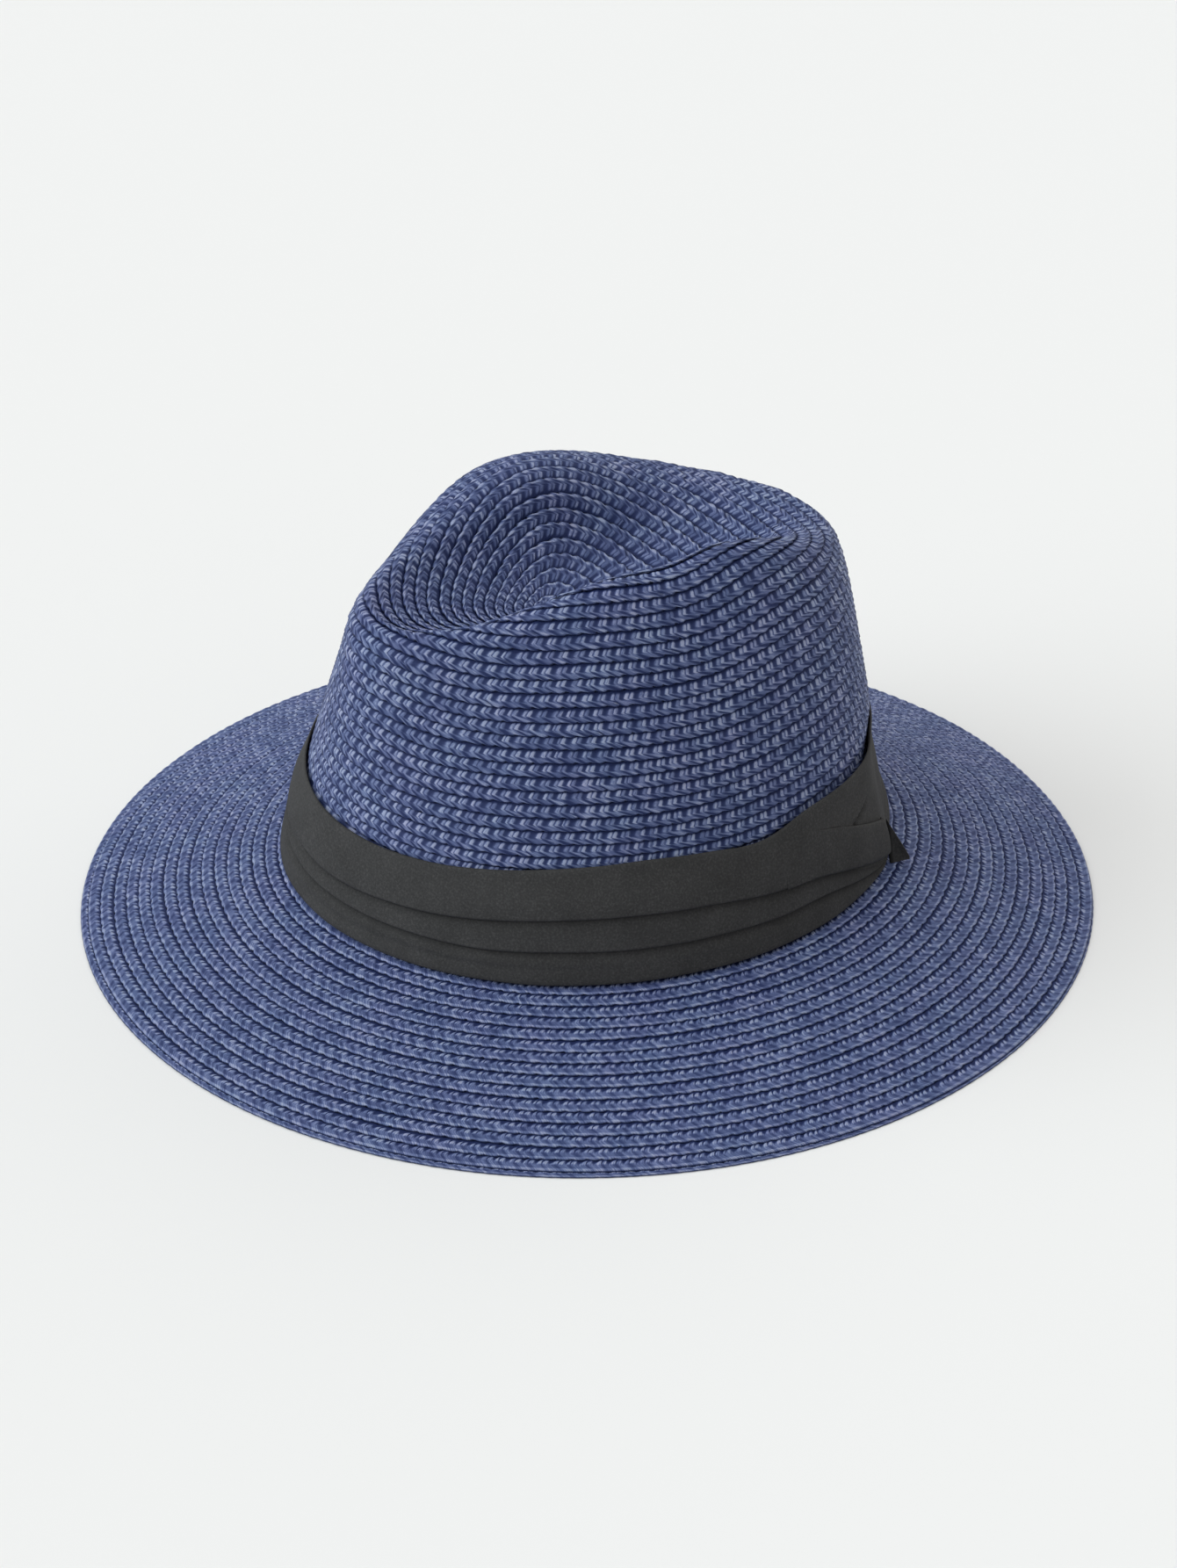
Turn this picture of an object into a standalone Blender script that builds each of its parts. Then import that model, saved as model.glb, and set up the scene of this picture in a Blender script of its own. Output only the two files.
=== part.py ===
import bisect
import math

import bmesh
import bpy
from mathutils import Vector

for item in list(bpy.data.objects):
    bpy.data.objects.remove(item, do_unlink=True)

# All sizes in metres and all angles in degrees, unless a note says otherwise.
# Front of the hat is -Y, the wearer's left is +X, the brim edge lies on z = 0.
HEAD_LENGTH = 0.196
HEAD_WIDTH = 0.176
BRAID_WALL = 0.0020
LAP_STEP = 0.0008
LAP_TUCK = 0.06  # share of a course that the next one is tucked under its lip
SEAM_GAP = 0.0003

BRIM_LENGTH = 0.332
BRIM_WIDTH = 0.318
BRIM_RISE = 0.0225
BRIM_LANDING = 0.0032
BRIM_COURSES = 16
EDGE_FLAT = 0.0040

CROWN_COURSES = 41
COURSE_CROWDING = 0.033  # share of the outline's length; courses lie wider in the crease than on the side wall
CROWN_HEIGHT = 0.1179  # over the brim's landing
CREASE_DEPTH = 0.0264
BOWL_FLATNESS = 0.60  # share of the crease's reach that stays near its lowest point
TIP_LEFT = 0.0065
TIP_FORWARD = 0.0140
# four values go left, right, front, back
RIM_REACH = (0.0393, 0.0393, 0.0802, 0.0663)
CREST_FALL = (0.0020, 0.0, 0.0209, 0.0184)  # below the crown's height
CREST_ROUND = (0.0070, 0.0211, 0.0050, 0.0200)
SHOULDER_DROP = (30.0, 9.0, 49.0, 0.0)
SHOULDER_REACH = (0.0160, 0.0316, 0.0060, 0.0246)
WALL_PULL = (0.0554, 0.0581, 0.0624, 0.0930)
WALL_FLARE = (0.170, 0.148, 0.250, 0.220)  # how far the wall leans in for each metre of height
# extra crest height at the corners: back left, back right, front left, front right
CORNER_LIFT = (0.0089, -0.0010, 0.0049, 0.0)

BAND_TOP = (0.0370, 0.0360, 0.0320, 0.0400)
BAND_FOOT = 0.0012
BAND_CLOTH = 0.0012
BAND_STANDOFF = 0.0020
STANDOFF_ANGLE, STANDOFF_SPREAD = 40.0, 25.0
PLEAT_STEP = 0.0011
PLEAT_LAP = 0.0006
# shares of the band's height: each pleat away from the knot, and how far the knot draws it down
PLEAT_UPPER, PLEAT_UPPER_DIP = 0.58, 0.46
PLEAT_LOWER, PLEAT_LOWER_DIP = 0.30, 0.25
PLEAT_GATHER, PLEAT_SPREAD = 57.0, 36.0

KNOT_START, KNOT_END = 13.0, 48.5
KNOT_LAP = 0.0010
KNOT_END_TOP = 0.0172
KNOT_SWEEP = 1.25  # power of the fall of its upper edge
KNOT_BULGE = 0.0022
TAIL_ANGLE = 50.5
TAIL_SWEEP = 1.5
TAIL_ROOT = 0.0138
TAIL_TIP = 0.0010
TAIL_REACH = 0.0065

SWEATBAND_HEIGHT = 0.0280
SWEATBAND_DROP = 0.0010
SWEATBAND_CLOTH = 0.0009
THREAD = 0.0006
STITCH_COUNT = 76
STITCH_HEIGHT = 0.0040
TACK_LENGTH = 0.0060

HEAD_SEGMENTS = 48
WALL_LINING_RINGS = 10
BOWL_LINING_RINGS = 8
BRIM_SEGMENTS = 56
SMOOTH_ANGLE = 40.0
PLY = BRAID_WALL - LAP_STEP

hat = bpy.data.collections.new("fedora_hat")
bpy.context.scene.collection.children.link(hat)


def finish(name, red, green, blue, roughness):
    material = bpy.data.materials.new(name)
    material.use_nodes = True
    shader = material.node_tree.nodes["Principled BSDF"]
    shader.inputs["Base Color"].default_value = (red, green, blue, 1.0)
    shader.inputs["Roughness"].default_value = roughness
    shader.inputs["Metallic"].default_value = 0.0
    return material


def add_part(name, shell, material):
    bmesh.ops.recalc_face_normals(shell, faces=shell.faces)
    mesh = bpy.data.meshes.new(name)
    shell.to_mesh(mesh)
    shell.free()
    mesh.shade_smooth()
    mesh.set_sharp_from_angle(angle=math.radians(SMOOTH_ANGLE))
    mesh.materials.append(material)
    hat.objects.link(bpy.data.objects.new(name, mesh))


# Skin through rings of unlike outline: a tube closed on itself, or a bag closed by a pole at each end.
def loft(name, rings, material, top_pole=None, end_pole=None):
    shell = bmesh.new()
    loops = [[shell.verts.new(point) for point in ring] for ring in rings]
    if top_pole is None:
        loops.append(loops[0])
    for near, far in zip(loops, loops[1:]):
        for i in range(len(near)):
            j = (i + 1) % len(near)
            shell.faces.new((near[i], near[j], far[j], far[i]))
    if top_pole is not None:
        for pole, loop in ((top_pole, loops[0]), (end_pole, loops[-1])):
            centre = shell.verts.new(pole)
            for i in range(len(loop)):
                shell.faces.new((centre, loop[i], loop[(i + 1) % len(loop)]))
    add_part(name, shell, material)


# Closed piece of cloth between a front and a back grid of points that share rows and columns.
def pad(name, front, back, material):
    shell = bmesh.new()
    sides = [[[shell.verts.new(point) for point in row] for row in grid] for grid in (front, back)]
    rows, columns = len(front), len(front[0])
    for side in sides:
        for i in range(rows - 1):
            for j in range(columns - 1):
                shell.faces.new((side[i][j], side[i][j + 1], side[i + 1][j + 1], side[i + 1][j]))
    border = [(0, j) for j in range(columns)] + [(i, columns - 1) for i in range(1, rows)]
    border += [(rows - 1, j) for j in reversed(range(columns - 1))]
    border += [(i, 0) for i in reversed(range(1, rows - 1))]
    for (i, j), (k, m) in zip(border, border[1:] + border[:1]):
        shell.faces.new((sides[0][i][j], sides[0][k][m], sides[1][k][m], sides[1][i][j]))
    add_part(name, shell, material)


def circle(count):
    return [2 * math.pi * i / count for i in range(count)]


def quarter_mix(angle, left, right, front, back):
    c, s = math.cos(angle), math.sin(angle)
    return max(c, 0) ** 2 * left + max(-c, 0) ** 2 * right + max(-s, 0) ** 2 * front + max(s, 0) ** 2 * back


def corner_mix(angle, back_left, back_right, front_left, front_right):
    side = (back_left, front_left) if math.cos(angle) > 0 else (back_right, front_right)
    return math.sin(2 * angle) ** 2 * (side[0] if math.sin(angle) > 0 else side[1])


def bump_round(angle, centre, spread):
    away = (math.degrees(angle) - centre + 180) % 360 - 180
    return math.exp(-(away / spread) ** 2)


def oval(angle, length, width):
    return 1 / math.hypot(math.cos(angle) / (width / 2), math.sin(angle) / (length / 2))


def bezier(points, t):
    while len(points) > 1:
        points = [p.lerp(q, t) for p, q in zip(points, points[1:])]
    return points[0]


# The creased crown's outline at one angle, and points on and off it by share of its length or by height.
class CrownWall:
    def __init__(self, angle):
        self.angle = angle
        across = RIM_REACH[0] if math.cos(angle) > 0 else RIM_REACH[1]
        along = RIM_REACH[2] if math.sin(angle) < 0 else RIM_REACH[3]
        self.reach = oval(angle, 2 * along, 2 * across)
        height = CROWN_HEIGHT - quarter_mix(angle, *CREST_FALL) + corner_mix(angle, *CORNER_LIFT)
        drop = math.radians(quarter_mix(angle, *SHOULDER_DROP))
        shoulder = quarter_mix(angle, *SHOULDER_REACH)
        rounding = quarter_mix(angle, *CREST_ROUND)
        tip = Vector((0, CROWN_HEIGHT - CREASE_DEPTH))
        bowl = Vector((BOWL_FLATNESS * self.reach, tip.y))
        rim = Vector((self.reach, height))
        foot = Vector((oval(angle, HEAD_LENGTH, HEAD_WIDTH) + PLY, 0))
        out = rim + shoulder * Vector((math.cos(drop), -math.sin(drop)))
        up = foot + quarter_mix(angle, *WALL_PULL) * Vector((-quarter_mix(angle, *WALL_FLARE), 1))
        # the sharp rim between crease and side wall is rounded over
        bowl_end = 1 - min(0.7, rounding / (2 * (rim - bowl).length))
        wall_start = min(0.6, rounding / (3 * shoulder))
        self.points = [bezier([tip, bowl, rim], bowl_end * i / 24) for i in range(25)]
        wall = [bezier([rim, out, up, foot], wall_start + (1 - wall_start) * i / 40) for i in range(41)]
        over = [bezier([self.points[-1], rim, wall[0]], i / 10) for i in range(1, 10)]
        crest = len(self.points) + len(over) // 2
        self.points += over + wall
        self.steps = [0.0]
        for p, q in zip(self.points, self.points[1:]):
            self.steps.append(self.steps[-1] + (q - p).length)
        self.crest_share = self.steps[crest] / self.steps[-1]

    def place(self, radius, height, drawn=0.0):
        x = radius * math.cos(self.angle) + TIP_LEFT * drawn
        y = radius * math.sin(self.angle) - TIP_FORWARD * drawn
        return (x, y, height + BRIM_RISE + SEAM_GAP)

    def by_share(self, share, offset):
        want = min(max(share, 0), 1) * self.steps[-1]
        k = min(bisect.bisect_right(self.steps, want), len(self.steps) - 1) - 1
        p, q = self.points[k], self.points[k + 1]
        near, far = self.points[max(k - 1, 0)], self.points[min(k + 2, len(self.points) - 1)]
        along = (far - near).normalized()
        spot = p.lerp(q, (want - self.steps[k]) / (self.steps[k + 1] - self.steps[k]))
        height = max(spot.y + along.x * offset, 0) if share < 1 else 0
        drawn = max(1 - spot.x / self.reach, 0) ** 2
        return self.place(spot.x - along.y * offset, height, drawn)

    def by_height(self, height, offset):
        for p, q in zip(reversed(self.points[:-1]), reversed(self.points[1:])):
            if p.y >= height >= q.y:
                return self.place(p.lerp(q, (p.y - height) / (p.y - q.y)).x + offset, height)
        return self.place(self.points[-1].x + offset, height)


navy = finish("navy_paper_braid", 0.075, 0.095, 0.195, 0.62)
charcoal = finish("charcoal_cloth", 0.034, 0.034, 0.035, 0.9)
lining = finish("black_ribbon", 0.018, 0.018, 0.02, 0.75)
cotton = finish("black_thread", 0.025, 0.025, 0.03, 0.6)

def course_share(course):
    turn = course / CROWN_COURSES
    return turn + COURSE_CROWDING * math.sin(math.pi * turn)


# Crown: courses of braid from the tip in the crease, over the crest and down to the brim, each lip on the next.
walls = [CrownWall(angle) for angle in circle(HEAD_SEGMENTS)]
rings = []
for course in range(1, CROWN_COURSES + 1):
    rings.append([wall.by_share(course_share(course), LAP_STEP) for wall in walls])
    if course < CROWN_COURSES:
        rings.append([wall.by_share(course_share(course + LAP_TUCK), 0) for wall in walls])
for step in range(WALL_LINING_RINGS):
    up = step / WALL_LINING_RINGS
    rings.append([wall.by_share(1 + (wall.crest_share - 1) * up, -PLY) for wall in walls])
for step in range(BOWL_LINING_RINGS):
    rings.append([wall.by_share(wall.crest_share * (1 - step / BOWL_LINING_RINGS), -PLY) for wall in walls])
loft("crown_braid", rings, navy, walls[0].by_share(0, LAP_STEP / 2), walls[0].by_share(0, -PLY))


# Brim: the same braid from the head oval out to the brim oval, flat where its edge stands.
def brim_point(angle, share, offset):
    start = oval(angle, HEAD_LENGTH, HEAD_WIDTH) + BRIM_LANDING
    end = oval(angle, BRIM_LENGTH, BRIM_WIDTH)
    radius = start + (end - start) * share
    height = BRIM_RISE + (PLY - BRIM_RISE) * share + offset
    return (radius * math.cos(angle), radius * math.sin(angle), height)


def flat_ring(angles, length, width, inset, height):
    radii = [oval(angle, length, width) - inset for angle in angles]
    return [(r * math.cos(angle), r * math.sin(angle), height) for r, angle in zip(radii, angles)]


angles = circle(BRIM_SEGMENTS)
rings = [flat_ring(angles, HEAD_LENGTH, HEAD_WIDTH, 0, BRIM_RISE)]
rings.append([brim_point(angle, 0, 0) for angle in angles])
for course in range(1, BRIM_COURSES + 1):
    share = course / BRIM_COURSES
    rings.append([brim_point(angle, share, LAP_STEP) for angle in angles])
    if course < BRIM_COURSES:
        rings.append([brim_point(angle, share + LAP_TUCK / BRIM_COURSES, 0) for angle in angles])
rings.append(flat_ring(angles, BRIM_LENGTH, BRIM_WIDTH, 0, 0))
rings.append(flat_ring(angles, BRIM_LENGTH, BRIM_WIDTH, EDGE_FLAT, 0))
for share in (0.88, 0.66, 0.44, 0.22, 0.0):
    rings.append([brim_point(angle, share, -PLY) for angle in angles])
rings.append(flat_ring(angles, HEAD_LENGTH, HEAD_WIDTH, 0, BRIM_RISE - PLY))
loft("brim_braid", rings, navy)


# Hat band: a strip of cloth in three plies, its two pleats drawn down toward the knot.
def band_top(angle):
    return quarter_mix(angle, *BAND_TOP)


def band_standoff(angle):
    return BAND_STANDOFF * bump_round(angle, STANDOFF_ANGLE, STANDOFF_SPREAD)


def pleat_edges(angle):
    pull = bump_round(angle, PLEAT_GATHER, PLEAT_SPREAD)
    rise = band_top(angle) - BAND_FOOT
    lower = BAND_FOOT + rise * (PLEAT_LOWER - PLEAT_LOWER_DIP * pull)
    return lower, BAND_FOOT + rise * (PLEAT_UPPER - PLEAT_UPPER_DIP * pull)


inner = LAP_STEP + SEAM_GAP
pleat_face = inner + BAND_CLOTH + PLEAT_STEP
columns = []
for wall in walls:
    stand = band_standoff(wall.angle)
    top = band_top(wall.angle)
    lower, upper = pleat_edges(wall.angle)
    columns.append((
        wall.by_height(BAND_FOOT, inner),
        wall.by_height(BAND_FOOT, pleat_face),
        wall.by_height((BAND_FOOT + lower) / 2, inner + 2 * BAND_CLOTH),
        wall.by_height(lower - PLEAT_LAP, inner + BAND_CLOTH),
        wall.by_height(lower, pleat_face),
        wall.by_height(upper - PLEAT_LAP, inner + BAND_CLOTH),
        wall.by_height(upper, pleat_face),
        wall.by_height((upper + top) / 2, inner + BAND_CLOTH + (PLEAT_STEP + stand) / 2),
        wall.by_height(top, inner + BAND_CLOTH + stand),
        wall.by_height(top, inner + stand),
        wall.by_height((upper + top) / 2, inner + stand / 4),
        wall.by_height((BAND_FOOT + top) / 2, inner),
    ))
loft("hat_band", list(zip(*columns)), charcoal)

# Knot: the band's end folded over its upper ply, thin where it leaves the band and round where it stops.
band_face = inner + BAND_CLOTH + max(BAND_CLOTH, PLEAT_STEP) + SEAM_GAP
start_top = band_top(math.radians(KNOT_START)) - KNOT_LAP
front, back = [], []
for i in range(9):
    level = i / 8
    dome = math.sqrt(1 - (2 * level - 1) ** 4)
    front.append([])
    back.append([])
    for j in range(13):
        along = math.sin(math.pi / 2 * j / 12)
        wall = CrownWall(math.radians(KNOT_START + (KNOT_END - KNOT_START) * along))
        low = pleat_edges(wall.angle)[1]
        height = low + (start_top + (KNOT_END_TOP - start_top) * along ** KNOT_SWEEP - low) * level
        base = band_face + band_standoff(wall.angle) * (height / band_top(wall.angle))
        swell = (BAND_CLOTH + KNOT_BULGE) * along * dome * math.sqrt(1 - along ** 8)
        front[-1].append(wall.by_height(height, base + SEAM_GAP + swell))
        back[-1].append(wall.by_height(height, base))
pad("band_knot", front, back, charcoal)

# Tail: the corner of cloth that comes out behind the knot and stands away from the band.
half_cloth = BAND_CLOTH / 2 / oval(math.radians(TAIL_ANGLE), HEAD_LENGTH, HEAD_WIDTH)
front, back = [], []
for i in range(6):
    along = i / 5
    angle = math.radians(TAIL_ANGLE + TAIL_SWEEP * along)
    tall = TAIL_TIP + (TAIL_ROOT - TAIL_TIP) * (1 - along)
    for side, grid in ((half_cloth, front), (-half_cloth, back)):
        wall = CrownWall(angle + side)
        heights = [BAND_FOOT + tall * j / 5 for j in range(6)]
        grid.append([wall.by_height(height, band_face + TAIL_REACH * along) for height in heights])
pad("band_tail", front, back, charcoal)

# Sweatband: a ribbon inside the crown at the head line, and the row of stitches that holds its lower edge.
face = -PLY - SEAM_GAP
heights = [-SWEATBAND_DROP, SWEATBAND_DROP]
heights += [SWEATBAND_HEIGHT * share for share in (0.35, 0.7, 1.0)]
rings = [[wall.by_height(height, face) for wall in walls] for height in heights]
rings += [[wall.by_height(height, face - SWEATBAND_CLOTH) for wall in walls] for height in reversed(heights)]
loft("sweatband", rings, lining)


def thread(name, points, closed):
    path = bpy.data.curves.new(name, "CURVE")
    path.dimensions = "3D"
    path.bevel_depth = THREAD / 2
    path.bevel_resolution = 0
    path.use_fill_caps = not closed
    spline = path.splines.new("POLY")
    spline.points.add(len(points) - 1)
    for point, place in zip(spline.points, points):
        point.co = (*place, 1.0)
    spline.use_cyclic_u = closed
    loose = bpy.data.objects.new(name, path)
    hat.objects.link(loose)
    bpy.context.view_layer.update()
    tube = bpy.data.meshes.new_from_object(loose.evaluated_get(bpy.context.evaluated_depsgraph_get()))
    bpy.data.objects.remove(loose, do_unlink=True)
    shell = bmesh.new()
    shell.from_mesh(tube)
    bpy.data.meshes.remove(tube)
    bmesh.ops.remove_doubles(shell, verts=shell.verts, dist=THREAD / 1000)
    add_part(name, shell, cotton)


inside = face - SWEATBAND_CLOTH - SEAM_GAP - THREAD / 2
points = []
for i, angle in enumerate(circle(2 * STITCH_COUNT)):
    points.append(CrownWall(angle).by_height(STITCH_HEIGHT, inside - THREAD * 0.6 * (i % 2)))
thread("sweatband_stitching", points, True)

# Tacks: short stitches over the sweatband, under the band's upper edge, that hold the band to the crown.
for side, degrees in (("left", 0), ("back", 90), ("right", 180), ("front", 270)):
    middle = math.radians(degrees)
    half = TACK_LENGTH / 2 / oval(middle, HEAD_LENGTH, HEAD_WIDTH)
    height = (SWEATBAND_HEIGHT + band_top(middle)) / 2
    points = []
    for i in range(5):
        bow = 0.6 + 0.3 * math.sin(math.pi * i / 4)
        points.append(CrownWall(middle + half * (i / 2 - 1)).by_height(height, face - THREAD * bow))
    thread("band_tack_" + side, points, False)
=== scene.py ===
import math

import bmesh
import bpy
import numpy as np
from mathutils import Matrix


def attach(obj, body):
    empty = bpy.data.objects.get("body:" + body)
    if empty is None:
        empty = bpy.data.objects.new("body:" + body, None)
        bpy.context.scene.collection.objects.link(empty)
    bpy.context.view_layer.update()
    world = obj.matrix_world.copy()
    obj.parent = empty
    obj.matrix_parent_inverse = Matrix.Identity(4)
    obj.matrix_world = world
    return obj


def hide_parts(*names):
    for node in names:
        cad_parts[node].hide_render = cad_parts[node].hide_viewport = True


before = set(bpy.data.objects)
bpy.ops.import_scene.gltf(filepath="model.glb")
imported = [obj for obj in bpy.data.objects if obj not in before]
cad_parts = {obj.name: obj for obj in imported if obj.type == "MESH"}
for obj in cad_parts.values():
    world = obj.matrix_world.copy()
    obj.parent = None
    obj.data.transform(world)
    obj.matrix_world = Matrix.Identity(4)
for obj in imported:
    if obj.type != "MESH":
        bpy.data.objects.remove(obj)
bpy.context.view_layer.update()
bpy.context.scene.view_settings.view_transform = "Standard"
mm = 0.001
rng = np.random.default_rng(11)


def deselectAll():
    if bpy.context.object and bpy.context.object.mode != "OBJECT":
        bpy.ops.object.mode_set(mode="OBJECT")
    bpy.ops.object.select_all(action="DESELECT")


def applyModifier(piece, kind, **values):
    deselectAll()
    piece.select_set(True)
    bpy.context.view_layer.objects.active = piece
    modifier = piece.modifiers.new(kind.lower(), kind)
    for key, value in values.items():
        setattr(modifier, key, value)
    bpy.ops.object.modifier_apply(modifier=modifier.name)


# a grid primitive whose points are moved to points[column, row]
def gridPiece(name, points):
    columns, rows = points.shape[:2]
    deselectAll()
    bpy.ops.mesh.primitive_grid_add(x_subdivisions=columns - 1, y_subdivisions=rows - 1, size=2)
    piece = bpy.context.object
    piece.name = piece.data.name = name
    flat = np.empty(columns * rows * 3)
    piece.data.vertices.foreach_get("co", flat)
    flat = flat.reshape(-1, 3)
    i = np.rint((flat[:, 0] + 1) / 2 * (columns - 1)).astype(int)
    j = np.rint((flat[:, 1] + 1) / 2 * (rows - 1)).astype(int)
    piece.data.vertices.foreach_set("co", points[i, j].ravel())
    piece.data.update()
    corner = np.empty(len(piece.data.loops), np.int32)
    piece.data.loops.foreach_get("vertex_index", corner)
    return piece, i[corner], j[corner]


def writeMap(piece, name, u, v):
    layers = piece.data.uv_layers
    layer = layers.get(name) or layers.new(name=name)
    layer.uv.foreach_set("vector", np.stack([u, v], -1).astype(np.float32).ravel())


# merges the grid's meeting edges, closes what is left open and turns the faces outwards
def weldSeam(piece, fill=True, distance=1e-6):
    shell = bmesh.new()
    shell.from_mesh(piece.data)
    bmesh.ops.remove_doubles(shell, verts=shell.verts, dist=distance)
    rims = [edge for edge in shell.edges if edge.is_boundary]
    if rims and fill:
        bmesh.ops.holes_fill(shell, edges=rims, sides=0)
    bmesh.ops.recalc_face_normals(shell, faces=shell.faces)
    shell.to_mesh(piece.data)
    shell.free()


# distances along a row of points
def runAlong(points):
    return np.concatenate([[0], np.cumsum(np.linalg.norm(np.diff(points, axis=0), axis=1))])


def smoothShade(piece):
    piece.data.polygons.foreach_set("use_smooth", np.ones(len(piece.data.polygons), bool))
    piece.data.update()


def dress(piece, material, slot, *nodes):
    piece.data.materials.clear()
    piece.data.materials.append(material)
    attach(piece, "root")
    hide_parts(*nodes)


def smoothStep(x):
    x = np.clip(x, 0, 1)
    return x * x * (3 - 2 * x)


def rise(x, start, end):
    return smoothStep((x - start) / (end - start))


# camera at the photograph's viewing angle
camera = {"azimuth": 60.0, "elevation": 30.22, "roll": 0.92, "distance": 1.358, "focalPixels": 4846.9,
          "height": 0.0582, "aimRight": -4.0, "aimUp": -58.75, "frameHigh": 1785.0, "sensorHigh": 36.0}


def standAt(name, data, side, top, away, place):
    thing = bpy.data.objects.new(name, data)
    bpy.context.scene.collection.objects.link(thing)
    turn = np.eye(4)
    turn[:3, 0], turn[:3, 1], turn[:3, 2], turn[:3, 3] = side, top, away, place
    thing.matrix_world = Matrix(turn.tolist())
    return thing


def placeCamera(c):
    az, el, roll = (math.radians(c[k]) for k in ("azimuth", "elevation", "roll"))
    back = np.array([math.sin(az) * math.cos(el), -math.cos(az) * math.cos(el), math.sin(el)])
    right = np.cross(-back, [0, 0, 1])
    right /= np.linalg.norm(right)
    up = np.cross(right, -back)
    right, up = math.cos(roll) * right + math.sin(roll) * up, math.cos(roll) * up - math.sin(roll) * right
    centre = np.array([0, 0, c["height"]])
    place = centre + back * c["distance"]
    aim = centre + c["distance"] / c["focalPixels"] * (c["aimRight"] * right + c["aimUp"] * up)
    look = (place - aim) / np.linalg.norm(place - aim)
    side = np.cross(up, look)
    side /= np.linalg.norm(side)
    data = bpy.data.cameras.new("photoCamera")
    data.sensor_fit = "VERTICAL"
    data.sensor_height = c["sensorHigh"]
    data.lens = c["focalPixels"] / c["frameHigh"] * c["sensorHigh"]
    data.clip_start, data.clip_end = 0.05, 20.0
    bpy.context.scene.camera = standAt("photoCamera", data, side, np.cross(look, side), look, place)
    return right, back


viewRight, viewBack = placeCamera(camera)
print("camera placed")

# sizes shared by the pieces; four values go left, right, front, back, and lift goes by the corners between
hat = {"headLength": 0.196, "headWidth": 0.176, "ply": 1.2 * mm, "gap": 0.3 * mm,
       "brimLength": 0.332, "brimWidth": 0.318, "brimRise": 0.0225, "brimEdge": 0.6 * mm, "landing": 3.2 * mm,
       "upturn": 20 * mm}
crown = {"bowl": 0.0865, "rim": (0.0393, 0.0393, 0.0802, 0.0663), "crest": (0.1159, 0.1179, 0.0970, 0.0995),
         "lift": (8.9 * mm, -1.0 * mm, 4.9 * mm, 0.0), "drop": (30.0, 9.0, 49.0, 0.0),
         "reach": (0.0160, 0.0316, 0.0060, 0.0246), "pull": (0.0554, 0.0581, 0.0624, 0.0930),
         "flare": (0.17, 0.148, 0.25, 0.22), "round": (0.0070, 0.0211, 0.0050, 0.0200),
         "flat": 0.60, "tip": (3.5 * mm, -20.0 * mm), "crowding": 0.033, "squeeze": 2.4 * mm,
         "squeezeFrom": (44, 60), "squeezeTo": (95, 120), "squeezeTop": (34 * mm, 46 * mm)}


def quarterMix(phi, left, right, front, back):
    c, s = np.cos(phi), np.sin(phi)
    return (np.maximum(c, 0) ** 2 * left + np.maximum(-c, 0) ** 2 * right
            + np.maximum(-s, 0) ** 2 * front + np.maximum(s, 0) ** 2 * back)


def oval(phi, length, width):
    return 1 / np.hypot(np.cos(phi) / (width / 2), np.sin(phi) / (length / 2))


def bezier(points, t):
    points = [np.asarray(p)[..., None, :] for p in points]
    t = np.asarray(t)[..., None]
    while len(points) > 1:
        points = [p * (1 - t) + q * t for p, q in zip(points, points[1:])]
    return points[0]


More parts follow.
